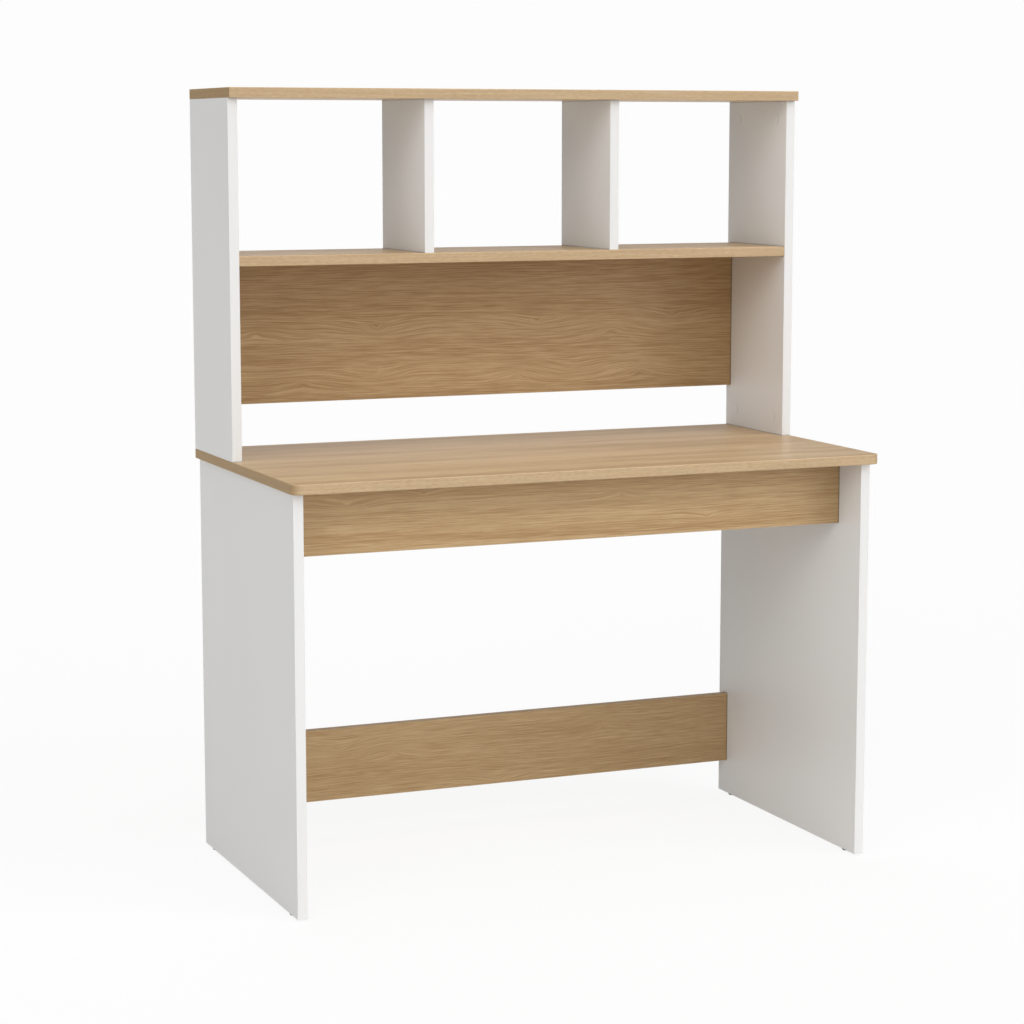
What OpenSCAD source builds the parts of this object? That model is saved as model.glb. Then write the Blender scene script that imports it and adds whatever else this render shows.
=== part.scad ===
// Student desk with an open hutch: white upright boards and oak-faced level boards, edge-banded and knocked
// down on cam locks and dowels. Millimetres. Origin at the middle of the footprint on the floor, +X to the
// sitter's right, +Y to the rear, +Z up.

/* [Desk] */
// Width of the desktop from end to end
desk_w = 1120; // [800:10:1600]
// Depth of the desktop from its front edge to its rear edge
desk_d = 574; // [450:1:750]
// Height of the desktop's upper face above the floor
desk_h = 753; // [600:1:900]
// Radius of the desktop's two front corners
corner_r = 17; // [6:1:60]
// Distance from each end of the desktop in to the side panel under it
side_inset = 8; // [0:1:40]
// How far the desktop reaches in front of the side panels
front_overhang = 24; // [0:1:80]

/* [Boards] */
// Thickness of every board
board_t = 18; // [15:0.5:25]
// Thickness of the edge band on every board but the desktop
band_t = 1; // [0.5:0.1:2]
// Thickness of the band that wraps the desktop's front and ends
desk_band_t = 2; // [1:0.1:3]

/* [Rails] */
// Height of the apron under the desktop
apron_h = 120; // [80:1:200]
// Distance from the side panels' front edge back to the apron
apron_setback = 79; // [0:1:150]
// Height of the rear stretcher
stretcher_h = 138; // [80:1:250]
// Height of the rear stretcher's lower edge above the floor
stretcher_z = 70; // [20:1:300]
// Distance from the side panels' rear edge forward to the rear stretcher
stretcher_inset = 17; // [0:1:100]

/* [Hutch] */
// Depth of the hutch's side panels
hutch_d = 234; // [180:1:320]
// How far the hutch's top reaches in front of its side panels
top_overhang = 13; // [0:1:40]
// Clear height between the desktop and the shelf
shelf_gap = 345; // [200:1:450]
// Clear height of the cubbies above the shelf
cubby_h = 275; // [150:1:400]
// How far the shelf's front edge stands behind the side panels' front edge
shelf_setback = 1; // [0:0.5:20]
// How far the dividers' front edge stands behind the shelf's front edge
divider_setback = 1; // [0:0.5:20]
// How far the shelf and dividers stop short of the side panels' rear edge
rear_recess = 11; // [0:1:17]
// Open height between the desktop and the hutch's back panel
back_gap = 80; // [0:1:180]

/* [Cam fittings] */
// Diameter of a cam lock
cam_d = 15; // [12:0.5:18]
// How far a cam lock reaches past the middle of its board
cam_below = 4.6; // [4.2:0.1:5]
// Distance from a joint to the centre of its cam locks
cam_reach = 34; // [24:1:40]
// Depth of a cam bolt's thread in the face of the other board
thread_l = 11; // [8:0.5:12]
// Diameter of the cover discs on the hutch's cam locks
cover_d = 20; // [16:1:25]
// Thickness of the cover discs
cover_t = 0.4; // [0.2:0.1:1]

/* [Dowels, screws and glides] */
// Diameter of a wooden dowel
dowel_d = 8; // [6:1:10]
// Length of a wooden dowel in the face of a board
dowel_face_l = 11; // [8:0.5:12]
// Length of a wooden dowel in the edge of the other board
dowel_edge_l = 19; // [15:0.5:30]
// Length of the screws that hold the dividers on the shelf
screw_l = 50; // [40:1:70]
// Diameter of a glide
glide_d = 16; // [12:1:17]
// Height of a glide under the side panels
glide_h = 3; // [2:0.5:8]
// Distance from a side panel's front or rear edge to the centre of its glide
glide_inset = 45; // [20:1:120]
// Clearance round every fitting in its hole
play = 0.1; // [0.05:0.05:0.3]

/* [Hidden] */
$fn = 48;

// Sides: the left one is at -X, the right one at +X
LEFT = -1;
RIGHT = 1;
SIDES = [LEFT, RIGHT];

// Finishes
WHITE = [0.93, 0.93, 0.92];
WHITE_BAND = [0.97, 0.97, 0.96];
OAK = [0.76, 0.65, 0.51];
OAK_BAND = [0.80, 0.69, 0.54];
BEECH = [0.85, 0.74, 0.58];
ZINC = [0.66, 0.67, 0.69];
STEEL = [0.55, 0.56, 0.58];
DARK_PLASTIC = [0.22, 0.22, 0.23];

// Levels
foot_z = glide_h;
under_z = desk_h - board_t;
shelf_z = desk_h + shelf_gap;
shelf_top_z = shelf_z + board_t;
roof_z = shelf_top_z + cubby_h;
back_z = desk_h + back_gap;
apron_z = under_z - apron_h;

// Places across the width, as distances from the middle
half_w = desk_w / 2;
side_out = half_w - side_inset;
side_in = side_out - board_t;
side_mid = side_in + board_t / 2;
hutch_in = half_w - board_t;
hutch_mid = hutch_in + board_t / 2;
cubby_w = (2 * hutch_in - 2 * board_t) / 3;
divider_mid = (cubby_w + board_t) / 2;

// Places along the depth
front_y = -desk_d / 2;
rear_y = desk_d / 2;
side_front_y = front_y + front_overhang;
apron_y = side_front_y + apron_setback;
stretcher_y = rear_y - stretcher_inset - board_t;
hutch_front_y = rear_y - hutch_d;
top_front_y = hutch_front_y - top_overhang;
shelf_front_y = hutch_front_y + shelf_setback;
divider_front_y = shelf_front_y + divider_setback;
inner_rear_y = rear_y - rear_recess;
back_y = rear_y - board_t;

// Arris radius of an edge band, as a share of its thickness
ARRIS = 0.8;

// Cam lock: its face lies just under the board's face, and its chamber is off centre
cam_sink = 0.2;
cam_floor = 0.4;
cam_h = board_t / 2 + cam_below - cam_sink;
cam_throw = 1;
cam_chamber_r = cam_d / 2 - 2.3;
cam_chamber_h = 7.4;
cam_slot_h = 4.4;
cam_slot_from = 150;
cam_slot_angle = 220;
cam_mouth_d = 7.8;
cam_driver_depth = 2.2;
cam_driver_d = 4.4;
cam_driver_arm = [8, 1.2];

// Cam bolt: the rim of its head bears on the wall of the lock's chamber
thread_r = 2.5;
collar_r = 3.8;
collar_l = 1;
shaft_r = 3;
neck_r = 2;
neck_l = 6;
head_r = 3.5;
head_l = 4.5;
head_gap = 0.2;
bolt_head_x = cam_reach + cam_throw - sqrt(cam_chamber_r ^ 2 - head_r ^ 2) + head_gap;
bolt_point = 1.5;
bore_spare = 0.5;
edge_bore_r = 4.1;

// Dowel ends
dowel_chamfer = 1;
dowel_spare = 1;

// Divider screw
screw_head_r = 4.9;
screw_head_l = 2.5;
screw_shank_r = 3.4;
screw_thread_r = 2.9;
screw_point = 4;
screw_key_d = 4.6;
screw_key_depth = 2;

// Glide and its nail
glide_edge_r = 1.2;
nail_r = 1;
nail_l = 16;
nail_head_r = 2.5;
nail_head_l = 0.8;
nail_head_z = 0.4;
nail_point = 2;

// Distances from the edges of the boards to their fittings
apron_to_cam = 56;
side_rear_to_cam = 60;
side_front_to_dowel = 40;
side_rear_to_dowel = 30;
rail_edge_to_cam = 30;
apron_end_to_dowel = 180;
hutch_edge_to_cam = 40;
hutch_edge_to_dowel = 90;
shelf_edge_to_cam = 40;
back_edge_to_cam = 50;
divider_edge_to_fitting = 45;

// Turns of an edge band. Its section faces local +X and its length runs along local +Z.
UPRIGHT_FRONT = [0, 0, -90];
UPRIGHT_REAR = [0, 0, 90];
LEVEL_FRONT = [90, 0, -90];
LEVEL_REAR = [90, 0, 90];
LEVEL_LEFT = [90, 0, 180];
LEVEL_RIGHT = [90, 0, 0];
RAIL_UNDER = [0, 90, 0];
RAIL_OVER = [0, -90, 0];
PANEL_UNDER = [0, 90, -90];

// Turns of a joint. Local +X runs from the joint into the edge of the board that takes the cam lock or the
// long half of the dowel, and local +Z points out of the face that the cam lock is pressed into.
function down_turn(side) = side == LEFT ? [0, 90, 0] : [0, 90, 180];
function up_turn(side) = side == LEFT ? [0, -90, 180] : [0, -90, 0];
function rear_turn(side) = side == LEFT ? [-90, 0, 0] : [90, 0, 180];
function under_turn(side) = side == LEFT ? [180, 0, 0] : [180, 0, 180];
DOWN = [0, 90, 0];

// Joints, each a list of [place, turn]: desktop on a side panel
function side_top_joints(side, places) = [for (y = places) [[side * side_mid, y, under_z], down_turn(side)]];
side_cam_ys = [apron_y + board_t + apron_to_cam, rear_y - side_rear_to_cam];
side_dowel_ys = [
    side_front_y + side_front_to_dowel,
    (side_cam_ys[0] + side_cam_ys[1]) / 2,
    rear_y - side_rear_to_dowel
];

// Ends of the apron and of the stretcher on a side panel
function rail_joints(side, rail_y, places) =
    [for (z = places) [[side * side_in, rail_y + board_t / 2, z], rear_turn(side)]];
apron_cam_zs = [apron_z + rail_edge_to_cam, under_z - rail_edge_to_cam];
apron_dowel_zs = [apron_z + apron_h / 2];
stretcher_cam_zs = [stretcher_z + rail_edge_to_cam, stretcher_z + stretcher_h - rail_edge_to_cam];
stretcher_dowel_zs = [stretcher_z + stretcher_h / 2];

// Desktop on the apron
apron_top_dowels =
    [for (i = [-1, 0, 1]) [[i * (side_in - apron_end_to_dowel), apron_y + board_t / 2, under_z], DOWN]];

// Hutch side panel on the desktop, and hutch top on a hutch side panel
function hutch_foot_joints(side, places) = [for (y = places) [[side * hutch_mid, y, desk_h], up_turn(side)]];
function hutch_roof_joints(side, places) = [for (y = places) [[side * hutch_mid, y, roof_z], down_turn(side)]];
hutch_cam_ys = [hutch_front_y + hutch_edge_to_cam, rear_y - hutch_edge_to_cam];
hutch_dowel_ys = [hutch_front_y + hutch_edge_to_dowel, rear_y - hutch_edge_to_dowel];

// Ends of the shelf on a hutch side panel
function shelf_joints(side, places) =
    [for (y = places) [[side * hutch_in, y, shelf_z + board_t / 2], under_turn(side)]];
shelf_cam_ys = [shelf_front_y + shelf_edge_to_cam, inner_rear_y - shelf_edge_to_cam];
shelf_dowel_ys = [for (i = [1, 2]) shelf_cam_ys[0] + i * (shelf_cam_ys[1] - shelf_cam_ys[0]) / 3];

// Ends of the back panel on a hutch side panel
back_cam_zs = [back_z + back_edge_to_cam, shelf_z - back_edge_to_cam];
back_dowel_zs = [for (i = [1, 2]) back_cam_zs[0] + i * (back_cam_zs[1] - back_cam_zs[0]) / 3];

// Hutch top on a divider, by dowels, and shelf under a divider, by screws
divider_ys = [divider_front_y + divider_edge_to_fitting, inner_rear_y - divider_edge_to_fitting];
function divider_top_dowels(side) = [for (y = divider_ys) [[side * divider_mid, y, roof_z], DOWN]];
function divider_screw_places(side) = [for (y = divider_ys) [side * divider_mid, y, shelf_z]];

// Centres of the glides under a side panel
function glide_places(side) =
    [for (y = [side_front_y + glide_inset, rear_y - glide_inset]) [side * side_mid, y, 0]];

// Every cam joint, and every dowel
hutch_open_cams = [for (side = SIDES) each concat(
    hutch_foot_joints(side, hutch_cam_ys),
    hutch_roof_joints(side, hutch_cam_ys)
)];
cam_joints = concat(hutch_open_cams, [for (side = SIDES) each concat(
    side_top_joints(side, side_cam_ys),
    rail_joints(side, apron_y, apron_cam_zs),
    rail_joints(side, stretcher_y, stretcher_cam_zs),
    shelf_joints(side, shelf_cam_ys),
    rail_joints_back(side, back_cam_zs)
)]);
dowel_joints = concat(apron_top_dowels, [for (side = SIDES) each concat(
    side_top_joints(side, side_dowel_ys),
    rail_joints(side, apron_y, apron_dowel_zs),
    rail_joints(side, stretcher_y, stretcher_dowel_zs),
    hutch_foot_joints(side, hutch_dowel_ys),
    hutch_roof_joints(side, hutch_dowel_ys),
    shelf_joints(side, shelf_dowel_ys),
    rail_joints_back(side, back_dowel_zs),
    divider_top_dowels(side)
)]);
function rail_joints_back(side, places) =
    [for (z = places) [[side * hutch_in, back_y + board_t / 2, z], rear_turn(side)]];

// ---- Helpers ----

// A block from its lowest to its highest corner
module block(low, high) {
    translate(low) cube(high - low);
}

// Puts the children at a joint
module at_joint(joint) {
    translate(joint[0]) rotate(joint[1]) children();
}

// Section of an edge band: +X out of the board's edge, +Y across its thickness, both outer arrises rounded
module band_section(thick) {
    arris = thick * ARRIS;
    square([thick - arris, board_t]);
    translate([0, arris]) square([thick, board_t - 2 * arris]);
    intersection() {
        for (y = [arris, board_t - arris]) translate([thick - arris, y]) circle(r = arris);
        square([thick, board_t]);
    }
}

// A straight edge band
module edge_band(from, turn, length, thick) {
    translate(from) rotate(turn) linear_extrude(length) band_section(thick);
}

// Front and rear edge bands of an upright board that spans x0 to x0 + board_t
module upright_bands(x0, y0, y1, z0, z1) {
    edge_band([x0, y0 + band_t, z0], UPRIGHT_FRONT, z1 - z0, band_t);
    edge_band([x0 + board_t, y1 - band_t, z0], UPRIGHT_REAR, z1 - z0, band_t);
}

// Front and rear edge bands of a level board that spans -half to +half
module level_bands(half, y0, y1, z0) {
    edge_band([half, y0 + band_t, z0], LEVEL_FRONT, 2 * half, band_t);
    edge_band([-half, y1 - band_t, z0], LEVEL_REAR, 2 * half, band_t);
}

// Lower and upper edge bands of a rail that spans -half to +half
module rail_band_under(half, y0, z0) {
    edge_band([-half, y0, z0 + band_t], RAIL_UNDER, 2 * half, band_t);
}
module rail_band_over(half, y0, z1) {
    edge_band([half, y0, z1 - band_t], RAIL_OVER, 2 * half, band_t);
}

// Hole for a cam lock, with the edge bore that its bolt comes through
module cam_bore() {
    bore_h = cam_h + cam_sink + cam_floor;
    translate([cam_reach, 0, board_t / 2 - bore_h]) cylinder(d = cam_d + 2 * play, h = bore_h + 1);
    translate([-1, 0, 0]) rotate([0, 90, 0]) cylinder(r = edge_bore_r, h = cam_reach + 1);
}

// Hole for the thread of a cam bolt
module bolt_bore() {
    rotate([0, -90, 0]) cylinder(r = thread_r + play, h = thread_l + bore_spare);
}

// Hole for a dowel, through both boards
module dowel_bore() {
    translate([-dowel_face_l - dowel_spare, 0, 0]) rotate([0, 90, 0])
        cylinder(d = dowel_d + 2 * play, h = dowel_face_l + dowel_edge_l + 2 * dowel_spare);
}

// Stepped hole for a divider screw, up through the shelf and into the divider
module screw_bore() {
    translate([0, 0, -1]) cylinder(r = screw_head_r + play, h = screw_head_l + play + 1);
    cylinder(r = screw_shank_r + play, h = board_t);
    cylinder(r = screw_thread_r + play, h = screw_l + bore_spare);
}

// Hole for a glide nail
module nail_bore() {
    cylinder(r = nail_r + play, h = nail_head_z + nail_l + bore_spare);
}

// ---- Desk ----

// Outline of the desktop, drawn in by the band on its front and ends, with its two round front corners
module desktop_outline() {
    r = corner_r - desk_band_t;
    x = half_w - desk_band_t;
    translate([-x, front_y + corner_r]) square([2 * x, desk_d - corner_r - band_t]);
    translate([-half_w + corner_r, front_y + desk_band_t]) square([desk_w - 2 * corner_r, r]);
    for (side = SIDES) translate([side * (half_w - corner_r), front_y + corner_r]) circle(r = r, $fn = 96);
}

module desktop() {
    color(OAK) difference() {
        translate([0, 0, under_z]) linear_extrude(board_t) desktop_outline();
        for (side = SIDES) {
            for (joint = side_top_joints(side, side_cam_ys)) at_joint(joint) bolt_bore();
            for (joint = side_top_joints(side, side_dowel_ys)) at_joint(joint) dowel_bore();
            for (joint = hutch_foot_joints(side, hutch_cam_ys)) at_joint(joint) bolt_bore();
            for (joint = hutch_foot_joints(side, hutch_dowel_ys)) at_joint(joint) dowel_bore();
        }
        for (joint = apron_top_dowels) at_joint(joint) dowel_bore();
    }
}

// One strip that runs along the left end, round the corner, along the front and back along the right end
module desktop_wrap_band() {
    end_l = desk_d - corner_r;
    color(OAK_BAND) union() {
        edge_band([-half_w + desk_band_t, front_y + corner_r, under_z], LEVEL_LEFT, end_l, desk_band_t);
        edge_band([half_w - corner_r, front_y + desk_band_t, under_z], LEVEL_FRONT,
            desk_w - 2 * corner_r, desk_band_t);
        edge_band([half_w - desk_band_t, rear_y, under_z], LEVEL_RIGHT, end_l, desk_band_t);
        for (side = SIDES)
            translate([side * (half_w - corner_r), front_y + corner_r, under_z])
            rotate([0, 0, side == LEFT ? 180 : 270])
            rotate_extrude(angle = 90, $fn = 96)
            translate([corner_r - desk_band_t, 0]) band_section(desk_band_t);
    }
}

module desktop_rear_band() {
    half = half_w - desk_band_t;
    color(OAK_BAND) edge_band([-half, rear_y - band_t, under_z], LEVEL_REAR, 2 * half, band_t);
}

module side_panel(side) {
    x0 = side == LEFT ? -side_out : side_in;
    color(WHITE) difference() {
        block([x0, side_front_y + band_t, foot_z + band_t], [x0 + board_t, rear_y - band_t, under_z]);
        for (joint = side_top_joints(side, side_cam_ys)) at_joint(joint) cam_bore();
        for (joint = side_top_joints(side, side_dowel_ys)) at_joint(joint) dowel_bore();
        for (joint = rail_joints(side, apron_y, apron_cam_zs)) at_joint(joint) bolt_bore();
        for (joint = rail_joints(side, apron_y, apron_dowel_zs)) at_joint(joint) dowel_bore();
        for (joint = rail_joints(side, stretcher_y, stretcher_cam_zs)) at_joint(joint) bolt_bore();
        for (joint = rail_joints(side, stretcher_y, stretcher_dowel_zs)) at_joint(joint) dowel_bore();
        for (place = glide_places(side)) translate(place) nail_bore();
    }
}
module left_side_panel() side_panel(LEFT);
module right_side_panel() side_panel(RIGHT);

// The front and rear bands run the full height and cover the ends of the lower band
module side_bands(side) {
    x0 = side == LEFT ? -side_out : side_in;
    color(WHITE_BAND) {
        upright_bands(x0, side_front_y, rear_y, foot_z, under_z);
        difference() {
            edge_band([x0, rear_y - band_t, foot_z + band_t], PANEL_UNDER,
                rear_y - side_front_y - 2 * band_t, band_t);
            for (place = glide_places(side)) translate(place) nail_bore();
        }
    }
}
module left_side_bands() side_bands(LEFT);
module right_side_bands() side_bands(RIGHT);

module front_apron() {
    color(OAK) difference() {
        block([-side_in, apron_y, apron_z + band_t], [side_in, apron_y + board_t, under_z]);
        for (side = SIDES) {
            for (joint = rail_joints(side, apron_y, apron_cam_zs)) at_joint(joint) cam_bore();
            for (joint = rail_joints(side, apron_y, apron_dowel_zs)) at_joint(joint) dowel_bore();
        }
        for (joint = apron_top_dowels) at_joint(joint) dowel_bore();
    }
}
module apron_band() color(OAK_BAND) rail_band_under(side_in, apron_y, apron_z);

module rear_stretcher() {
    color(OAK) difference() {
        block([-side_in, stretcher_y, stretcher_z + band_t],
            [side_in, stretcher_y + board_t, stretcher_z + stretcher_h - band_t]);
        for (side = SIDES) {
            for (joint = rail_joints(side, stretcher_y, stretcher_cam_zs)) at_joint(joint) cam_bore();
            for (joint = rail_joints(side, stretcher_y, stretcher_dowel_zs)) at_joint(joint) dowel_bore();
        }
    }
}
module stretcher_bands() {
    color(OAK_BAND) {
        rail_band_under(side_in, stretcher_y, stretcher_z);
        rail_band_over(side_in, stretcher_y, stretcher_z + stretcher_h);
    }
}

// ---- Hutch ----

module hutch_side(side) {
    x0 = side == LEFT ? -half_w : hutch_in;
    color(WHITE) difference() {
        block([x0, hutch_front_y + band_t, desk_h], [x0 + board_t, rear_y - band_t, roof_z]);
        for (joint = hutch_foot_joints(side, hutch_cam_ys)) at_joint(joint) cam_bore();
        for (joint = hutch_foot_joints(side, hutch_dowel_ys)) at_joint(joint) dowel_bore();
        for (joint = hutch_roof_joints(side, hutch_cam_ys)) at_joint(joint) cam_bore();
        for (joint = hutch_roof_joints(side, hutch_dowel_ys)) at_joint(joint) dowel_bore();
        for (joint = shelf_joints(side, shelf_cam_ys)) at_joint(joint) bolt_bore();
        for (joint = shelf_joints(side, shelf_dowel_ys)) at_joint(joint) dowel_bore();
        for (joint = rail_joints_back(side, back_cam_zs)) at_joint(joint) bolt_bore();
        for (joint = rail_joints_back(side, back_dowel_zs)) at_joint(joint) dowel_bore();
    }
}
module hutch_left_side() hutch_side(LEFT);
module hutch_right_side() hutch_side(RIGHT);

module hutch_left_bands() color(WHITE_BAND) upright_bands(-half_w, hutch_front_y, rear_y, desk_h, roof_z);
module hutch_right_bands() color(WHITE_BAND) upright_bands(hutch_in, hutch_front_y, rear_y, desk_h, roof_z);

module hutch_top() {
    x = half_w - band_t;
    color(OAK) difference() {
        block([-x, top_front_y + band_t, roof_z], [x, rear_y - band_t, roof_z + board_t]);
        for (side = SIDES) {
            for (joint = hutch_roof_joints(side, hutch_cam_ys)) at_joint(joint) bolt_bore();
            for (joint = hutch_roof_joints(side, hutch_dowel_ys)) at_joint(joint) dowel_bore();
            for (joint = divider_top_dowels(side)) at_joint(joint) dowel_bore();
        }
    }
}

// The front and rear bands run the full width and cover the ends of the bands on the two ends
module hutch_top_bands() {
    x = half_w - band_t;
    end_l = rear_y - top_front_y - 2 * band_t;
    color(OAK_BAND) {
        level_bands(half_w, top_front_y, rear_y, roof_z);
        edge_band([-x, top_front_y + band_t, roof_z], LEVEL_LEFT, end_l, band_t);
        edge_band([x, rear_y - band_t, roof_z], LEVEL_RIGHT, end_l, band_t);
    }
}

module hutch_shelf() {
    color(OAK) difference() {
        block([-hutch_in, shelf_front_y + band_t, shelf_z], [hutch_in, inner_rear_y - band_t, shelf_top_z]);
        for (side = SIDES) {
            for (joint = shelf_joints(side, shelf_cam_ys)) at_joint(joint) cam_bore();
            for (joint = shelf_joints(side, shelf_dowel_ys)) at_joint(joint) dowel_bore();
            for (place = divider_screw_places(side)) translate(place) screw_bore();
        }
    }
}
module shelf_bands() color(OAK_BAND) level_bands(hutch_in, shelf_front_y, inner_rear_y, shelf_z);

module divider(side) {
    x0 = side * divider_mid - board_t / 2;
    color(WHITE) difference() {
        block([x0, divider_front_y + band_t, shelf_top_z], [x0 + board_t, inner_rear_y - band_t, roof_z]);
        for (joint = divider_top_dowels(side)) at_joint(joint) dowel_bore();
        for (place = divider_screw_places(side)) translate(place) screw_bore();
    }
}
module left_divider() divider(LEFT);
module right_divider() divider(RIGHT);

module divider_bands(side) {
    x0 = side * divider_mid - board_t / 2;
    color(WHITE_BAND) upright_bands(x0, divider_front_y, inner_rear_y, shelf_top_z, roof_z);
}
module left_divider_bands() divider_bands(LEFT);
module right_divider_bands() divider_bands(RIGHT);

module hutch_back_panel() {
    color(OAK) difference() {
        block([-hutch_in, back_y, back_z + band_t], [hutch_in, rear_y, shelf_z - band_t]);
        for (side = SIDES) {
            for (joint = rail_joints_back(side, back_cam_zs)) at_joint(joint) cam_bore();
            for (joint = rail_joints_back(side, back_dowel_zs)) at_joint(joint) dowel_bore();
        }
    }
}
module back_panel_bands() {
    color(OAK_BAND) {
        rail_band_under(hutch_in, back_y, back_z);
        rail_band_over(hutch_in, back_y, shelf_z);
    }
}

// ---- Fittings ----

// A cam lock, turned home: its mouth faces away from the joint and the bolt's head is behind its slot
module cam_lock() {
    translate([cam_reach, 0, 0]) difference() {
        translate([0, 0, board_t / 2 - cam_sink - cam_h]) cylinder(d = cam_d, h = cam_h);
        // Chamber for the bolt's head, off centre so that it draws the bolt in as the lock turns
        translate([cam_throw, 0, -cam_chamber_h / 2]) cylinder(r = cam_chamber_r, h = cam_chamber_h);
        // Slot for the bolt's neck, from the bolt round to the mouth
        rotate([0, 0, cam_slot_from]) rotate_extrude(angle = cam_slot_angle)
            translate([cam_chamber_r / 2, -cam_slot_h / 2]) square([cam_d / 2, cam_slot_h]);
        // Mouth that the bolt's head comes in by
        rotate([0, 90, 0]) cylinder(d = cam_mouth_d, h = cam_d);
        // Cross recess for the driver
        translate([0, 0, board_t / 2 - cam_sink - cam_driver_depth]) {
            cylinder(d = cam_driver_d, h = cam_driver_depth + 1);
            for (turn = [0, 90])
                rotate([0, 0, turn])
                translate([-cam_driver_arm[0] / 2, -cam_driver_arm[1] / 2, 0])
                cube([cam_driver_arm[0], cam_driver_arm[1], cam_driver_depth + 1]);
        }
    }
}
module cam_locks() color(ZINC) for (joint = cam_joints) at_joint(joint) cam_lock();

// A cam bolt: thread in the face of one board, collar on its surface, neck and head in the lock
module cam_bolt() {
    neck_x = bolt_head_x - neck_l;
    rotate([0, 90, 0]) rotate_extrude() polygon([
        [0, -thread_l], [thread_r - bolt_point / 2, -thread_l], [thread_r, -thread_l + bolt_point],
        [thread_r, 0], [collar_r, 0], [collar_r, collar_l], [shaft_r, collar_l],
        [shaft_r, neck_x - 1], [neck_r, neck_x], [neck_r, bolt_head_x],
        [head_r, bolt_head_x], [head_r, bolt_head_x + head_l - 1], [head_r - 1, bolt_head_x + head_l],
        [0, bolt_head_x + head_l]
    ]);
}
module cam_bolts() color(STEEL) for (joint = cam_joints) at_joint(joint) cam_bolt();

module cam_covers() {
    color(WHITE) for (joint = hutch_open_cams)
        at_joint(joint) translate([cam_reach, 0, board_t / 2]) cylinder(d = cover_d, h = cover_t);
}

// A dowel with chamfered ends
module dowel() {
    r = dowel_d / 2;
    rotate([0, 90, 0]) rotate_extrude() polygon([
        [0, -dowel_face_l], [r - dowel_chamfer, -dowel_face_l], [r, -dowel_face_l + dowel_chamfer],
        [r, dowel_edge_l - dowel_chamfer], [r - dowel_chamfer, dowel_edge_l], [0, dowel_edge_l]
    ]);
}
module wooden_dowels() color(BEECH) for (joint = dowel_joints) at_joint(joint) dowel();

// A divider screw: socket head sunk in the shelf, plain shank through it, thread in the divider
module divider_screw() {
    difference() {
        rotate_extrude() polygon([
            [0, 0], [screw_head_r, 0], [screw_head_r, screw_head_l], [screw_shank_r, screw_head_l],
            [screw_shank_r, board_t - 1], [screw_thread_r, board_t - 1],
            [screw_thread_r, screw_l - screw_point], [0, screw_l]
        ]);
        translate([0, 0, -1]) cylinder(d = screw_key_d, h = screw_key_depth + 1, $fn = 6);
    }
}
module divider_screws() {
    color(STEEL) for (side = SIDES, place = divider_screw_places(side)) translate(place) divider_screw();
}

// A nail-on glide: a pad with a round lower edge and a sunk hole for its nail
module glide() {
    r = glide_d / 2;
    difference() {
        rotate_extrude() {
            square([r - glide_edge_r, glide_h]);
            translate([0, glide_edge_r]) square([r, glide_h - glide_edge_r]);
            translate([r - glide_edge_r, glide_edge_r]) circle(r = glide_edge_r);
        }
        translate([0, 0, -1]) cylinder(r = nail_head_r + play, h = nail_head_z + nail_head_l + 1);
        translate([0, 0, -1]) cylinder(r = nail_r + play, h = glide_h + 2);
    }
}
module glides() color(DARK_PLASTIC) for (side = SIDES, place = glide_places(side)) translate(place) glide();

module glide_nail() {
    tip = nail_head_z + nail_l;
    rotate_extrude() polygon([
        [0, nail_head_z], [nail_head_r, nail_head_z], [nail_head_r, nail_head_z + nail_head_l],
        [nail_r, nail_head_z + nail_head_l], [nail_r, tip - nail_point], [0, tip]
    ]);
}
module glide_nails() {
    color(STEEL) for (side = SIDES, place = glide_places(side)) translate(place) glide_nail();
}

desktop();
desktop_wrap_band();
desktop_rear_band();
left_side_panel();
right_side_panel();
left_side_bands();
right_side_bands();
front_apron();
apron_band();
rear_stretcher();
stretcher_bands();
hutch_left_side();
hutch_right_side();
hutch_left_bands();
hutch_right_bands();
hutch_top();
hutch_top_bands();
hutch_shelf();
shelf_bands();
left_divider();
right_divider();
left_divider_bands();
right_divider_bands();
hutch_back_panel();
back_panel_bands();
cam_locks();
cam_bolts();
cam_covers();
wooden_dowels();
divider_screws();
glides();
glide_nails();
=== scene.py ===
# %% [markdown]
# # A student desk with hutch, finished for the picture
#
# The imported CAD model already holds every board, edge band and fitting in its
# true place, so this lesson adds what CAD leaves out: a camera, light, a floor,
# and a finish for each material. Rebuilding the boards as boxes in Blender is
# possible too, but then the bores and rounded edges of the real joinery would
# have to be made twice. All lengths are in metres. X runs along the desk, -Y
# points to the person sitting at it, and Z is up.

# %% Load the fixed frame
import math

import bpy
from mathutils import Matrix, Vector


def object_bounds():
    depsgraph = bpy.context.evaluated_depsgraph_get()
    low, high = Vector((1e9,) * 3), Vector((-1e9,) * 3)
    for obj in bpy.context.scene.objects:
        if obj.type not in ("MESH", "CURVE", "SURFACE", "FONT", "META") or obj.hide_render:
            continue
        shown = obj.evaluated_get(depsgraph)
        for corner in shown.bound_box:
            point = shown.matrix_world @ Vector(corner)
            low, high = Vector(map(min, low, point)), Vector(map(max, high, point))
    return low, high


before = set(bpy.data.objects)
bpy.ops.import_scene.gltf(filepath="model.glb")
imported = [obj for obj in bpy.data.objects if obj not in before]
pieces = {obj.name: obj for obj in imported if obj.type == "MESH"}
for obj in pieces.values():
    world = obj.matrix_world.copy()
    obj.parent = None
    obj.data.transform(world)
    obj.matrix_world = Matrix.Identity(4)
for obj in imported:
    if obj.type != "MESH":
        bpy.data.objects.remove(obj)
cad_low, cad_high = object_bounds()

print("pieces loaded:", len(pieces))
print("size in metres:", [round(v, 3) for v in cad_high - cad_low])

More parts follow.
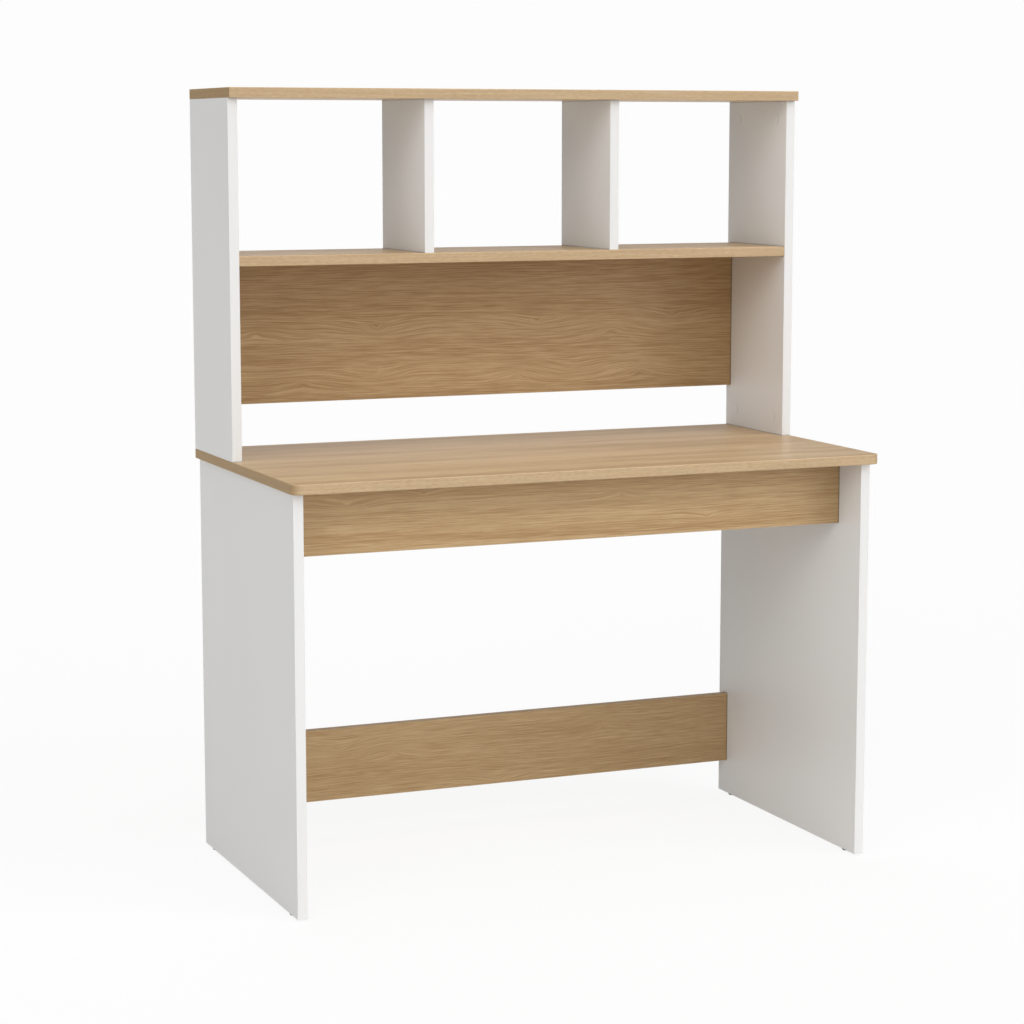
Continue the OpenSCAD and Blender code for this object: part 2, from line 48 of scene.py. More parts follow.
# %% [markdown]
# ## The camera
#
# A catalogue picture of a desk is taken from a little to one side and from
# about the height of a standing person's chest. One could aim a camera at the
# middle of the desk and slide it until the picture looks right. Here the
# position and the two angles are set directly, because a tripod is set up that
# way too: where it stands, how far it is turned, and how far it is tipped down.
# A long lens keeps the upright edges nearly parallel.

# %% Set up the camera
TRIPOD = (-1.9240, -4.4514, 1.3230)
TURN = math.radians(-22.88)
TIP_DOWN = math.radians(8.01)
LENS_MM = 93.66
FILM_MM = 36.0
FARTHEST = 200.0

camera_data = bpy.data.cameras.new("camera")
camera_data.sensor_width = FILM_MM
camera_data.lens = LENS_MM
camera_data.clip_end = FARTHEST
camera = bpy.data.objects.new("camera", camera_data)
camera.location = TRIPOD
camera.rotation_euler = (math.pi / 2 - TIP_DOWN, 0.0, TURN)
bpy.context.scene.collection.objects.link(camera)
bpy.context.scene.camera = camera
sight = camera.rotation_euler.to_matrix() @ Vector((0, 0, -1))
print("camera looks along", [round(v, 3) for v in sight])

# %% [markdown]
# ## Building networks in a few words
#
# The light and every finish below are small networks of nodes. Clicking them
# together in the editor is the usual way, but a helper that makes a node, sets
# its values and wires its inputs in one line lets a whole finish be read from
# top to bottom. An input may be given another node's output, a number, a
# vector or a colour.

# %% A helper that makes one node
def feed(tree, socket, value):
    """Wires another node's output into a socket, or sets the socket to a value."""
    if isinstance(value, bpy.types.NodeSocket):
        tree.links.new(value, socket)
    else:
        socket.default_value = value


def node(tree, kind, inputs=None, out=0, **settings):
    """Adds a node, sets its settings and inputs, and returns one of its outputs."""
    made = tree.nodes.new(kind)
    for name, value in settings.items():
        setattr(made, name, value)
    for key, value in (inputs or {}).items():
        feed(tree, made.inputs[key], value)
    return made.outputs[out] if made.outputs else made


print("node helper ready")

# %% [markdown]
# ## Arithmetic with nodes
#
# Grain, light and shadow are all sums of simple curves, so steps of arithmetic
# turn up everywhere. Blender has one node for sums on plain numbers and one for
# sums on vectors; two short helpers give them names that read like a formula.

# %% Helpers for sums
def maths(tree, operation, a, b=0.0, c=0.0, clamp=False):
    """One step of arithmetic on numbers."""
    return node(tree, "ShaderNodeMath", {0: a, 1: b, 2: c},
                operation=operation, use_clamp=clamp)


def vector_maths(tree, operation, a, b=(0, 0, 0), out=0):
    """One step of arithmetic on vectors."""
    return node(tree, "ShaderNodeVectorMath", {0: a, 1: b}, out, operation=operation)


print("sums ready")

# %% [markdown]
# ## Soft studio light
#
# A photographer would stand this desk in a white cove with big soft boxes in
# front and above. Area lights would do, but each one costs noise and leaves a
# bright rectangle in glossy faces. A sky that glows softly more from some sides
# than from others gives the same wrap-around light, so the sky is built as a
# sum of broad lobes. Each has a direction, an exponent that says how narrow it
# is, and a strength.
#
# The last number is its glare: how much of the lobe shiny faces mirror. The
# soft boxes in front wear a polarising film in a real studio, which keeps their
# image out of the desktop; a share of a quarter does the same here.

# %% Name the lobes of light
LOBES = {
    # name: (degrees to the right of the viewer, degrees up, exponent, strength, glare)
    "low, far left": (-75, 5, 16, 2.47, 0.25),
    "high, left": (-45, 30, 16, 3.04, 0.25),
    "high, near right": (15, 30, 16, 1.20, 0.25),
    "high, right": (45, 30, 16, 2.26, 0.25),
    "low, right": (45, 5, 16, 4.09, 0.25),
    "backdrop": (170, 5, 6, 0.72, 1.0),
    "ceiling": (0, 90, 8, 1.86, 1.0),
}
print("sky lobes:", ", ".join(LOBES))

# %% [markdown]
# ## Adding up the sky
#
# For a sky, the Generated coordinate is the direction in which a ray leaves the
# scene. Its dot product with a lobe's direction is 1 straight at the lobe and 0
# at right angles to it, and raising that to a power makes a soft round patch of
# light. The patches are simply added. Two sums run side by side: the glow that
# lights the desk, and the glare that its shiny faces mirror.

# %% Sum the lobes
world = bpy.data.worlds.new("studio")
bpy.context.scene.world = world
world.use_nodes = True
sky = world.node_tree
sky.nodes.clear()

toward = node(sky, "ShaderNodeTexCoord", out="Generated")
glow, glare = 0.0, 0.0
for turn, up, exponent, strength, share in LOBES.values():
    turn, up = math.radians(turn), math.radians(up)
    middle = Vector((math.sin(turn) * math.cos(up), -math.cos(turn) * math.cos(up),
                     math.sin(up)))
    facing = vector_maths(sky, "DOT_PRODUCT", toward, middle, out="Value")
    patch = maths(sky, "POWER", maths(sky, "MAXIMUM", facing, 0.0), exponent)
    glow = maths(sky, "MULTIPLY_ADD", patch, strength, glow)
    glare = maths(sky, "MULTIPLY_ADD", patch, strength * share, glare)
print("lobes added:", len(LOBES))

# %% [markdown]
# ## What each ray finds in the sky
#
# The Light Path node tells the sky who is asking. A ray mirrored by a shiny face
# gets the glare, any other ray that lights a surface gets the glow, and the
# camera itself sees an even, almost pure white, as a cut-out catalogue picture
# has. The Standard view transform keeps that white and the oak's true colour,
# where a filmic one would grey both.

# %% Join glow, glare and backdrop
WHITE_GLOW = 0.982
PURE = (1, 1, 1, 1)

mirrored = node(sky, "ShaderNodeLightPath", out="Is Glossy Ray")
less = maths(sky, "SUBTRACT", glare, glow)
lighting = node(sky, "ShaderNodeBackground",
                {"Color": PURE,
                 "Strength": maths(sky, "MULTIPLY_ADD", mirrored, less, glow)})
backdrop = node(sky, "ShaderNodeBackground", {"Color": PURE, "Strength": WHITE_GLOW})
first_sight = node(sky, "ShaderNodeLightPath", out="Is Camera Ray")
node(sky, "ShaderNodeOutputWorld",
     {"Surface": node(sky, "ShaderNodeMixShader",
                      {0: first_sight, 1: lighting, 2: backdrop})})
bpy.context.scene.view_settings.view_transform = "Standard"
bpy.context.scene.view_settings.look = "None"
print("nodes in the sky:", len(sky.nodes))

# %% [markdown]
# ## The floor
#
# The desk stands on a pale, seamless floor. A square plane would show its
# corners, so the floor is one wide disc. It lies a fifth of a millimetre under
# the glides, which keeps the two surfaces from flickering through each other.
# It is stage, not furniture.

# %% Lay the floor
FLOOR_RADIUS = 60.0
FLOOR_SIDES = 96
FLOOR_GAP = 0.0002

rim = [(FLOOR_RADIUS * math.cos(a), FLOOR_RADIUS * math.sin(a), 0.0)
       for a in (2 * math.pi * k / FLOOR_SIDES for k in range(FLOOR_SIDES))]
floor_mesh = bpy.data.meshes.new("floor")
floor_mesh.from_pydata(rim, [], [list(range(FLOOR_SIDES))])
floor = bpy.data.objects.new("floor", floor_mesh)
floor.location.z = cad_low.z - FLOOR_GAP
bpy.context.scene.collection.objects.link(floor)
print("floor at z =", round(floor.location.z, 4))

# %% [markdown]
# ## The floor's two coats
#
# A floor lit only by the sky would show a grey horizon behind the desk. Letting
# it glow hides the horizon but washes out the shadow under the side panels, so
# the floor wears two coats of paint plus glow. The camera sees the first, which
# melts into the white and keeps a faint contact shadow; all other rays see the
# second, which bounces as much light onto the desk as a real pale floor.

# %% Paint the floor
FLOOR_SEEN = {"paint": 0.12, "glow": 0.877}
FLOOR_LIGHTING = {"paint": 0.62, "glow": 0.22}

floor_finish = bpy.data.materials.new("pale floor")
floor_finish.use_nodes = True
tree = floor_finish.node_tree
tree.nodes.clear()
coats = []
for coat in (FLOOR_LIGHTING, FLOOR_SEEN):
    paint = node(tree, "ShaderNodeBsdfDiffuse", {"Color": (coat["paint"],) * 3 + (1,)})
    shine = node(tree, "ShaderNodeEmission", {"Strength": coat["glow"]})
    coats.append(node(tree, "ShaderNodeAddShader", {0: paint, 1: shine}))
first_sight = node(tree, "ShaderNodeLightPath", out="Is Camera Ray")
mixed = node(tree, "ShaderNodeMixShader", {0: first_sight, 1: coats[0], 2: coats[1]})
node(tree, "ShaderNodeOutputMaterial", {"Surface": mixed})
floor_mesh.materials.append(floor_finish)
print("coats on the floor:", len(coats))

# %% [markdown]
# ## Starting a finish
#
# Every finish needs the same beginning: a material with a Principled shader and
# the position of the point being shaded. The desk's pieces all sit at the
# origin with their place in their vertices, so the Object coordinates are
# simply metres along X, Y and Z of the whole desk. That saves unwrapping any
# piece, and a pattern keeps its true size on each of them. Plastic, resin-soaked
# paper and waxed wood all bend light by about the same amount, and a metal takes
# no notice of it, so one index of refraction serves every finish.

# %% A helper that starts a finish
REFRACTION = 1.5


def start_finish(name, **constants):
    """A new material; returns it with its node tree, shader and position."""
    finish = bpy.data.materials.new(name)
    finish.use_nodes = True
    tree = finish.node_tree
    tree.nodes.clear()
    shader = tree.nodes.new("ShaderNodeBsdfPrincipled")
    shader.inputs["IOR"].default_value = REFRACTION
    for socket, value in constants.items():
        shader.inputs[socket.replace("_", " ")].default_value = value
    node(tree, "ShaderNodeOutputMaterial", {"Surface": shader.outputs[0]})
    return finish, tree, shader, node(tree, "ShaderNodeTexCoord", out="Object")


print("index of refraction of every finish:", REFRACTION)

# %% [markdown]
# ## Patterns measured in metres
#
# Wood grain, pores and the pearl of melamine are all uneven in a smooth way.
# The Noise texture gives that. Scaling its input by one over a size makes the
# blotches come out that many metres long, so a grain line can be asked for as
# sixty millimetres by one, and compared with a ruler on a real board.
#
# A noise hardly ever reaches 0 or 1. The last helper stretches the part that it
# does use, so that the finish gets the whole of the range asked for.

# %% Helpers for patterns
NOISE_LOW, NOISE_HIGH = 0.3, 0.7


def noise(tree, where, sizes, detail=2.0, roughness=0.5, shift=(0, 0, 0)):
    """Smooth random values from 0 to 1 whose blotches have the given sizes in metres."""
    scaled = node(tree, "ShaderNodeMapping",
                  {"Vector": where, "Location": shift,
                   "Scale": [1.0 / s for s in sizes]}, vector_type="POINT")
    return node(tree, "ShaderNodeTexNoise",
                {"Vector": scaled, "Scale": 1.0, "Detail": detail,
                 "Roughness": roughness}, noise_dimensions="3D")


def between(tree, value, low, high, out_low=0.0, out_high=1.0, curve="LINEAR"):
    """Stretches the range from low to high onto a new range."""
    return node(tree, "ShaderNodeMapRange",
                {"Value": value, "From Min": low, "From Max": high,
                 "To Min": out_low, "To Max": out_high}, interpolation_type=curve)


def follow(tree, pattern, out_low, out_high):
    """Takes a noise from out_low, where it is low, to out_high, where it is high."""
    return between(tree, pattern, NOISE_LOW, NOISE_HIGH, out_low, out_high)


print("noise is used from", NOISE_LOW, "to", NOISE_HIGH)

# %% [markdown]
# ## Relief too shallow to model
#
# Pores and pearl are pressed a fraction of a millimetre into the real sheets. A
# mesh could follow them, but that would take millions of faces and change the
# CAD piece. The Bump node only tilts the shading, as if the surface rose and
# fell, which is all that the eye sees of such a relief.

# %% A helper that adds relief
def add_relief(tree, shader, height, strength, depth):
    """Shades the surface as if the height pattern were pressed into it, depth in metres."""
    feed(tree, shader.inputs["Normal"],
         node(tree, "ShaderNodeBump",
              {"Height": height, "Strength": strength, "Distance": depth}))


print("relief ready")

# %% [markdown]
# ## Mixing colours
#
# A pattern becomes a finish when it picks between a darker and a lighter shade
# of one base colour. The Mix node does the picking. It carries sockets for every
# kind of data, so the helper asks for the three that handle colour by number.

# %% Helpers for colours
MIX_SHARE, MIX_FIRST, MIX_SECOND, MIX_RESULT = 0, 6, 7, 2


def mix_rgba(tree, share, first, second, blend="MIX"):
    """The first colour where share is 0, the second where it is 1."""
    return node(tree, "ShaderNodeMix",
                {MIX_SHARE: share, MIX_FIRST: first, MIX_SECOND: second},
                MIX_RESULT, data_type="RGBA", blend_type=blend)


def shade(colour, factors):
    """A colour scaled channel by channel, with full alpha."""
    return tuple(min(1.0, c * f) for c, f in zip(colour, factors)) + (1.0,)


print("colours ready")

# %% [markdown]
# ## Where two boards meet
#
# Flat-pack boards never meet quite tight: a hair of gap and the shade that falls
# into it draw a thin dark line along every joint and inner corner. Here that line
# is painted shade in the colour. It could be modelled as a gap, but a gap that
# small is lost between pixels. The Ambient Occlusion node looks a few millimetres
# around each point and says how much of its surroundings is blocked by other
# pieces, so it finds every joint by itself, and the colour is darkened there.

# %% A helper that paints shade into the joints
JOINT_REACH = 0.004
JOINT_RAYS = 8
JOINT_SHUT, JOINT_OPEN = 0.50, 0.85  # how open the surroundings are in and beside one


def with_joint_shade(tree, colour, depth):
    """The colour, darkened by painted shade to depth times itself where another piece is very
    near.
    """
    openness = node(tree, "ShaderNodeAmbientOcclusion", {"Distance": JOINT_REACH},
                    out="AO", samples=JOINT_RAYS)
    in_joint_shade = between(tree, openness, JOINT_SHUT, JOINT_OPEN, 1.0, 0.0)
    return mix_rgba(tree, in_joint_shade, colour, (depth, depth, depth, 1), "MULTIPLY")


print("joints darken over", JOINT_REACH * 1000, "mm")

# %% [markdown]
# ## Oak-look laminate: following the grain
#
# The desktop, shelf, roof, apron, stretcher and back panel are chipboard under
# a printed oak paper. Its figure is what a saw shows when it cuts along a trunk:
# long streaks that run with the board. An image of oak is the quick way, but it
# repeats and blurs close up, so the figure is built from noise.
#
# All of it needs two coordinates, along the board and across it. The one across
# sways by a few millimetres, because no tree grows straight. A third number,
# the seed, moves each board to its own slice of the noise, so that no two
# boards look alike.

# %% Coordinates that follow the grain
SWAY_SIZE = (0.40, 0.10, 1.0)
SWAY = 0.006


def grain_lines(tree, place, across, seed):
    """Metres along the board, across it, and across it with the grain's sway."""
    split = tree.nodes.new("ShaderNodeSeparateXYZ")
    tree.links.new(place, split.inputs[0])
    along, over = split.outputs[0], split.outputs["XYZ".index(across)]
    flat = node(tree, "ShaderNodeCombineXYZ", {0: along, 1: over, 2: seed})
    sway = between(tree, noise(tree, flat, SWAY_SIZE, detail=1.0), 0, 1, -SWAY, SWAY)
    return along, flat, maths(tree, "ADD", over, sway)


print("grain sways by", SWAY * 1000, "mm")

# %% [markdown]
# ## Oak-look laminate: eyes
#
# Where a branch once grew, the lines part and close again round an eye. Painting
# an eye on top would cut across the lines. Instead the coordinate across the
# board is lifted in a soft oval patch, so the lines themselves bend around it:
# a wide patch makes the arches, and a small, steeper one makes the pointed heart.
# A negative size turns the arches the other way up.

# %% Bend the grain round its eyes
EYE_ARCS = ((0.120, 0.036), 0.012)
EYE_HEART = ((0.028, 0.012), 0.0050)


def soft_patch(tree, where, centre, reach):
    """1 at the centre of an oval patch, falling smoothly to 0 at its rim."""
    away = vector_maths(tree, "SUBTRACT", where, (*centre, 0.0))
    away = vector_maths(tree, "MULTIPLY", away, (1 / reach[0], 1 / reach[1], 0.0))
    away = vector_maths(tree, "LENGTH", away, out="Value")
    return between(tree, away, 0.0, 1.0, 1.0, 0.0, curve="SMOOTHSTEP")


def bend_round_eyes(tree, along, bent, eyes):
    """Lifts the grain in two patches for each eye at (along, across, size)."""
    level = node(tree, "ShaderNodeCombineXYZ", {0: along, 1: bent})
    for x, y, size in eyes:
        for reach, lift in (EYE_ARCS, EYE_HEART):
            patch = soft_patch(tree, level, (x, y), [abs(size) * r for r in reach])
            bent = maths(tree, "MULTIPLY_ADD", patch, size * lift, bent)
    return bent


print("an eye reaches", EYE_ARCS[0][0] * 2000, "mm along the board")

# %% [markdown]
# ## Oak-look laminate: rings, streaks, bands and pores
#
# Oak shows its growth at four scales: rings a few millimetres apart, fine
# streaks about a millimetre wide, broad bands where a whole year ran darker,
# and open pores like short dark scratches. One noise with much detail would
# give all four the same length. Four separate ones let each keep the length
# and the strength that it has on the sheet, and a shift keeps each from
# repeating another.

# %% Layer the figure
RING_SIZE = (0.24, 0.0024, 1.0)
STREAK_SIZE, STREAK_SHIFT = (0.060, 0.0012, 1.0), (3.1, 5.7, 0)
BAND_LENGTH, BAND_SHIFT = 0.80, (1.7, 9.1, 0)
PORE_SIZE, PORE_SHIFT = (0.014, 0.0006, 1.0), (8.3, 2.9, 0)
PORE_LOW, PORE_HIGH, PORE_DEPTH = 0.60, 0.75, 0.35


def oak_figure(tree, flat, lines, gains, band_width):
    """How light the wood is from 0 to 1, its fine streaks, and its open pores."""
    rings = noise(tree, lines, RING_SIZE, detail=3.0, roughness=0.6)
    streaks = noise(tree, lines, STREAK_SIZE, roughness=0.6, shift=STREAK_SHIFT)
    bands = noise(tree, flat, (BAND_LENGTH, band_width, 1.0), shift=BAND_SHIFT)
    pores = noise(tree, lines, PORE_SIZE, detail=1.0, shift=PORE_SHIFT)
    light = 0.5
    for pattern, gain in zip((rings, streaks, bands), gains):
        light = maths(tree, "ADD", light,
                      between(tree, pattern, 0.0, 1.0, -0.5 * gain, 0.5 * gain))
    light = maths(tree, "ADD", light, 0.0, clamp=True)
    return light, streaks, between(tree, pores, PORE_LOW, PORE_HIGH, 0.0, PORE_DEPTH)


print("ring, streak and pore width in mm:",
      [round(s[1] * 1000, 2) for s in (RING_SIZE, STREAK_SIZE, PORE_SIZE)])

# %% [markdown]
# ## Oak-look laminate: colour, gloss and relief
#
# The figure picks between a dark and a light oak, and the pores pull it darker
# still. Laminate is satin: it mirrors softly at a low angle, a little more in
# the dense light wood than in the open dark wood, so the roughness follows the
# streaks as well. A slight bump presses the pores in, as the steel plate does
# that embosses the real sheet.

# %% Put the oak laminate together
STREAK_DARK = (0.78, 0.70, 0.60)
STREAK_LIGHT = (1.22, 1.30, 1.40)
# factor of the painted shade in the oak's joints and inner corners
OAK_JOINT_SHADE = 0.35
OAK_MIRROR = 0.3
OAK_ROUGH, OAK_SMOOTH = 0.38, 0.30
OAK_RELIEF, OAK_RELIEF_DEPTH = 0.25, 0.0002


def oak_laminate(name, across, seed, tone, gains, band_width, eyes=()):
    """Oak-look paper with the grain along X; across is the axis over the grain."""
    finish, tree, shader, place = start_finish(name, Specular_IOR_Level=OAK_MIRROR)
    along, flat, bent = grain_lines(tree, place, across, seed)
    bent = bend_round_eyes(tree, along, bent, eyes)
    lines = node(tree, "ShaderNodeCombineXYZ", {0: along, 1: bent, 2: seed})
    light, streaks, pores = oak_figure(tree, flat, lines, gains, band_width)
    dark = shade(tone, STREAK_DARK)
    colour = mix_rgba(tree, light, dark, shade(tone, STREAK_LIGHT))
    colour = mix_rgba(tree, pores, colour, dark)
    # the colour gets painted shade in the joints and inner corners
    feed(tree, shader.inputs["Base Color"], with_joint_shade(tree, colour, OAK_JOINT_SHADE))
    feed(tree, shader.inputs["Roughness"], follow(tree, streaks, OAK_ROUGH, OAK_SMOOTH))
    add_relief(tree, shader, maths(tree, "SUBTRACT", streaks, pores),
               OAK_RELIEF, OAK_RELIEF_DEPTH)
    return finish


print("oak roughness from", OAK_SMOOTH, "to", OAK_ROUGH)

# %% [markdown]
# ## Oak on the lying boards
#
# The desktop, shelf and roof were cut from quiet, nearly straight-grained
# sheet, with broad bands that show at a low angle. Their grain runs along X and
# is crossed along Y. One finish for all three would put the same bands on each,
# so each board has its own seed. Their tone is much lighter than the standing
# boards', though the laminate is the same: painted light from above.

# %% Finish the lying boards
# painted light: a lighter tone than STANDING_TONE for the same laminate, for the light from
# above
LYING_TONE_PAINTED_LIGHT = (0.640, 0.450, 0.247)
LYING_BAND_WIDTH = 0.050
LYING = {  # board: seed, gains of rings, streaks and bands
    "desktop": (3.3, (1.0, 1.6, 2.0)),
    "hutch_shelf": (4.0, (1.2, 2.0, 1.7)),
    "hutch_top": (6.7, (1.2, 2.0, 1.7)),
}
oak_boards = {}
for part, (seed, gains) in LYING.items():
    oak_boards[part] = oak_laminate(f"oak laminate, {part}", "Y", seed, LYING_TONE_PAINTED_LIGHT,
                                    gains, LYING_BAND_WIDTH)
print("lying boards:", ", ".join(oak_boards))

# %% [markdown]
# ## Oak on the standing boards
#
# The apron, stretcher and back panel stand upright, so their grain is crossed
# along Z. They are cut from livelier sheet with eyes in it. Where each eye sits
# could be left to chance, but a few are easy to place one by one, and then their
# hearts lie well apart. The apron and stretcher, in the desktop's shade, get a
# slightly lighter tone than the back panel: painted light.

# %% Finish the standing boards
STANDING_TONE = (0.425, 0.283, 0.142)
# the depth of tone lifts the apron and stretcher, which stand in the desktop's shade: painted
# light
STANDING = {  # board: seed, depth of tone, gains, width of bands, eyes at (x, z, size)
    "front_apron": (11.3, 1.09, (1.5, 2.1, 1.25), 0.020, (
        (-0.429, 0.700, 0.65), (-0.290, 0.712, 0.45),
        (0.090, 0.694, -0.55), (0.260, 0.642, 0.5))),
    "rear_stretcher": (14.0, 1.08, (1.45, 2.3, 0.8), 0.045, (
        (-0.300, 0.166, 0.9), (-0.180, 0.150, -0.7),
        (0.029, 0.080, 0.7), (0.257, 0.169, -0.8))),
    "hutch_back_panel": (16.7, 1.00, (1.5, 2.7, 0.8), 0.045, (
        (-0.448, 0.962, -0.8), (-0.208, 0.963, 1.0), (0.120, 0.969, 0.8),
        (0.280, 0.954, -1.1), (0.410, 0.976, 0.8), (-0.355, 0.869, -0.8),
        (-0.211, 0.878, 0.8), (0.079, 0.871, -0.8), (0.190, 0.878, 0.9),
        (0.340, 0.868, -0.9))),
}
for part, (seed, depth, gains, band_width, eyes) in STANDING.items():
    oak_boards[part] = oak_laminate(f"oak laminate, {part}", "Z", seed,
                                    shade(STANDING_TONE, (depth,) * 3)[:3],
                                    gains, band_width, eyes)
print("standing boards:", ", ".join(STANDING))

# %% [markdown]
# ## Oak edge band
#
# The raw chipboard edge is hidden by a strip of oak-look plastic about a
# millimetre thick, ironed on with hot glue. It is printed paler than the faces,
# with faint rings, many short dashes of about a centimetre and no eyes. Longer
# streaks would look calmer than the real print. The band turns the corner
# from X to Y, so the sum of the two serves as the coordinate along it: each
# straight run changes only one of them. On the short ends, which face along X,
# the strip is made darker as painted shade; the surface normal says where those
# are.
#
# A scraper takes the edge of the band off to about a millimetre round, and the
# upper edge catches a thin line of light. The CAD bands are rounded too, but
# the light here is too soft to draw that line, so it is part of the colour: it
# fades out within two millimetres of the top of each lying board.

# %% Finish the oak band
BAND_TONE = (0.493, 0.352, 0.207)
BAND_DARK, BAND_LIGHT = (0.82, 0.77, 0.71), (1.18, 1.23, 1.29)
# painted shade: how much darker the band's short ends, which face along X, are made
BAND_END_SHADE = (0.73, 0.66, 0.50, 1)
BAND_ROUGHNESS, BAND_MIRROR = 0.42, 0.25
BAND_RELIEF, BAND_RELIEF_DEPTH = 0.2, 0.0001
BAND_RING_SIZE, BAND_RING_SHARE = (0.20, 0.0045, 1.0), 0.45
BAND_DASH_SIZE, BAND_DASH_SHARE = (0.012, 0.0022, 1.0), 0.55
BAND_DASH_SHIFT = (5.0, 1.0, 0)
BAND_LOW, BAND_HIGH = 0.25, 0.75  # ring and dash sums that give the dark and light shade
LIT_EDGE, LIT_FULL, LIT_NONE = (1.22, 1.22, 1.22, 1), 0.0006, 0.0020
board_tops = [max(corner[2] for corner in pieces[part].bound_box) for part in LYING]


def oak_edge_band(name):
    """Thin oak-look plastic band: grain along the band, a little duller."""
    finish, tree, shader, place = start_finish(
        name, Roughness=BAND_ROUGHNESS, Specular_IOR_Level=BAND_MIRROR)
    split = tree.nodes.new("ShaderNodeSeparateXYZ")
    tree.links.new(place, split.inputs[0])
    run = maths(tree, "ADD", split.outputs[0], split.outputs[1])
    strip = node(tree, "ShaderNodeCombineXYZ", {0: run, 1: split.outputs[2], 2: 0.0})
    rings = noise(tree, strip, BAND_RING_SIZE, roughness=0.6)
    dashes = noise(tree, strip, BAND_DASH_SIZE, roughness=0.6, shift=BAND_DASH_SHIFT)
    light = maths(tree, "ADD", maths(tree, "MULTIPLY", rings, BAND_RING_SHARE),
                  maths(tree, "MULTIPLY", dashes, BAND_DASH_SHARE))
    colour = mix_rgba(tree, between(tree, light, BAND_LOW, BAND_HIGH),
                      shade(BAND_TONE, BAND_DARK), shade(BAND_TONE, BAND_LIGHT))
    # painted shade: the faces turned along X, the short ends, are darkened
    facing = tree.nodes.new("ShaderNodeSeparateXYZ")
    tree.links.new(node(tree, "ShaderNodeTexCoord", out="Normal"), facing.inputs[0])
    end_shade_mask = maths(tree, "MULTIPLY", facing.outputs[0], facing.outputs[0])
    colour = mix_rgba(tree, end_shade_mask, colour, BAND_END_SHADE, "MULTIPLY")
    for top in board_tops:
        below = maths(tree, "ABSOLUTE", maths(tree, "SUBTRACT", split.outputs[2], top))
        colour = mix_rgba(tree, between(tree, below, LIT_FULL, LIT_NONE, 1.0, 0.0),
                          colour, LIT_EDGE, "MULTIPLY")
    feed(tree, shader.inputs["Base Color"], colour)
    add_relief(tree, shader, dashes, BAND_RELIEF, BAND_RELIEF_DEPTH)
    return finish


oak_band = oak_edge_band("oak edge band")
print("band finish:", oak_band.name, "lit at", [round(top, 4) for top in board_tops])

# %% [markdown]
# ## White melamine, white edge band and cover film
#
# The side panels and dividers are white melamine board: a warm, slightly grey
# white under a fine pearl grain that takes the edge off its gloss. Their edge
# band is plastic, whiter and smoother, and the film discs over the cam locks lie
# between the two. A plain white would look like paper, so each gets a very
# slight drift in tone, a roughness that follows the pearl, and the pearl itself
# as a bump. The three differ only in tint, gloss and the size of the pearl.

# %% Finish the white pieces
WHITE_DRIFT = 0.008
WHITE_DRIFT_SIZE = (0.25, 0.25, 0.25)
# factor of the painted shade in the white pieces' joints and inner corners
WHITE_JOINT_SHADE = 0.55
WHITE_GLOSS_DRIFT = 0.05
WHITE_RELIEF, WHITE_RELIEF_DEPTH = 0.15, 0.0001


def white_finish(name, tint, roughness, pearl):
    """White plastic surface with a fine pearl grain of the given size."""
    finish, tree, shader, place = start_finish(name)
    drift = noise(tree, place, WHITE_DRIFT_SIZE)
    fine = noise(tree, place, (pearl,) * 3, roughness=0.6)
    colour = mix_rgba(tree, follow(tree, drift, 0.0, 1.0),
                      shade(tint, (1 - WHITE_DRIFT,) * 3),
                      shade(tint, (1 + WHITE_DRIFT,) * 3))
    # the colour gets painted shade in the joints and inner corners
    feed(tree, shader.inputs["Base Color"], with_joint_shade(tree, colour, WHITE_JOINT_SHADE))
    feed(tree, shader.inputs["Roughness"],
         follow(tree, fine, roughness - WHITE_GLOSS_DRIFT, roughness + WHITE_GLOSS_DRIFT))
    add_relief(tree, shader, fine, WHITE_RELIEF, WHITE_RELIEF_DEPTH)
    return finish


white_board = white_finish("white melamine", tint=(0.740, 0.733, 0.718),
                           roughness=0.45, pearl=0.0016)
white_band = white_finish("white edge band", tint=(0.752, 0.748, 0.738),
                          roughness=0.36, pearl=0.0009)
cover_film = white_finish("cover disc film", tint=(0.748, 0.741, 0.727),
                          roughness=0.40, pearl=0.0012)
print("white finishes:", white_board.name, white_band.name, cover_film.name, sep=", ")

# %% [markdown]
# ## Fittings
#
# Flat-pack furniture is held together by cam locks of die-cast zinc, plated
# steel bolts, screws and nails, beech dowels, and plastic glides under the
# panels. Most of them hide inside the boards, but the ones at the back and
# below are seen, and all of them are seen when the desk is taken apart. Zinc is
# dull and cloudy, plating is brighter, beech is pale and matt, and the glides
# are black. One helper serves them all: a fine noise moves the colour, the
# roughness and the bump together, as a cast or turned surface does.

# %% Finish the fittings
FITTING_DARK, FITTING_LIGHT = 0.85, 1.1
FITTING_GLOSS_DRIFT = 0.07
FITTING_RELIEF, FITTING_RELIEF_DEPTH = 0.3, 0.0001


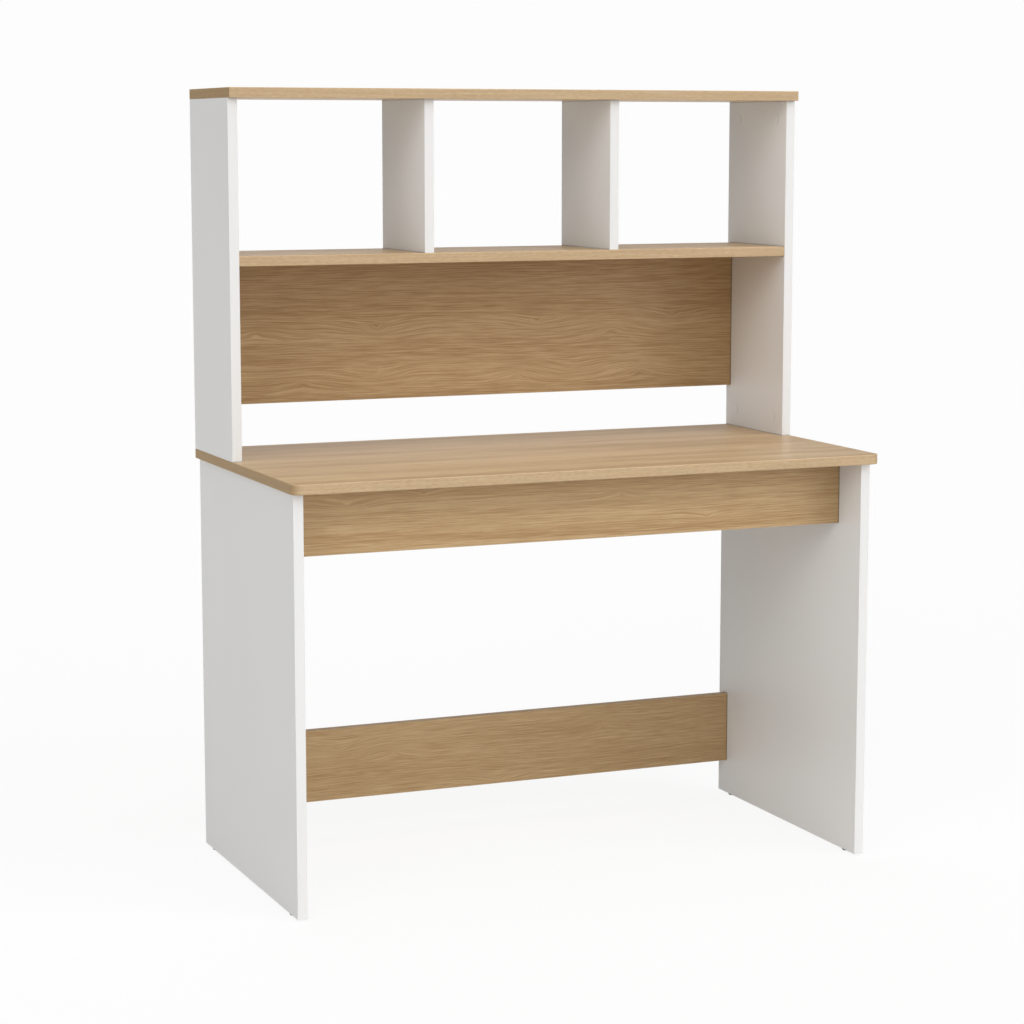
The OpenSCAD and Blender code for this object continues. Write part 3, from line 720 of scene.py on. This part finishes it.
def fitting_finish(name, colour, metallic, roughness, grain):
    """Metal, turned wood or moulded plastic with a fine grain of the given size."""
    finish, tree, shader, place = start_finish(name, Metallic=metallic)
    fine = noise(tree, place, (grain,) * 3, detail=3.0, roughness=0.6)
    colour = mix_rgba(tree, follow(tree, fine, 0.0, 1.0),
                      shade(colour, (FITTING_DARK,) * 3), shade(colour, (FITTING_LIGHT,) * 3))
    feed(tree, shader.inputs["Base Color"], colour)
    feed(tree, shader.inputs["Roughness"],
         follow(tree, fine, roughness - FITTING_GLOSS_DRIFT, roughness + FITTING_GLOSS_DRIFT))
    add_relief(tree, shader, fine, FITTING_RELIEF, FITTING_RELIEF_DEPTH)
    return finish


zinc = fitting_finish("die-cast zinc", colour=(0.60, 0.60, 0.61), metallic=1.0,
                      roughness=0.45, grain=0.002)
steel = fitting_finish("plated steel", colour=(0.66, 0.64, 0.60), metallic=1.0,
                       roughness=0.30, grain=0.001)
beech = fitting_finish("beech dowel", colour=(0.62, 0.43, 0.26), metallic=0.0,
                       roughness=0.60, grain=0.004)
glide_plastic = fitting_finish("glide plastic", colour=(0.045, 0.045, 0.047), metallic=0.0,
                               roughness=0.50, grain=0.001)
print("fittings:", zinc.name, steel.name, beech.name, glide_plastic.name, sep=", ")

# %% [markdown]
# ## Give every piece its finish
#
# A piece of the CAD model keeps its shape and only changes its coat, so its
# material slots are emptied and filled again. Doing that by hand for each piece
# would be long and easy to get wrong; a table from finish to pieces can be
# checked at a glance, and the line that it prints names any piece left out.

# %% Dress the pieces
FINISHES = {
    white_board: ("left_side_panel", "right_side_panel", "hutch_left_side",
                  "hutch_right_side", "left_divider", "right_divider"),
    white_band: ("left_side_bands", "right_side_bands", "hutch_left_bands",
                 "hutch_right_bands", "left_divider_bands", "right_divider_bands"),
    oak_band: ("desktop_wrap_band", "desktop_rear_band", "apron_band",
               "stretcher_bands", "hutch_top_bands", "shelf_bands",
               "back_panel_bands"),
    cover_film: ("cam_covers",),
    zinc: ("cam_locks",),
    steel: ("cam_bolts", "divider_screws", "glide_nails"),
    beech: ("wooden_dowels",),
    glide_plastic: ("glides",),
}
finish_of = {part: finish for finish, parts in FINISHES.items() for part in parts}
finish_of.update(oak_boards)
for part, finish in finish_of.items():
    mesh = pieces[part].data
    mesh.materials.clear()
    mesh.materials.append(finish)
print("pieces without a finish:", sorted(set(pieces) - set(finish_of)) or "none")
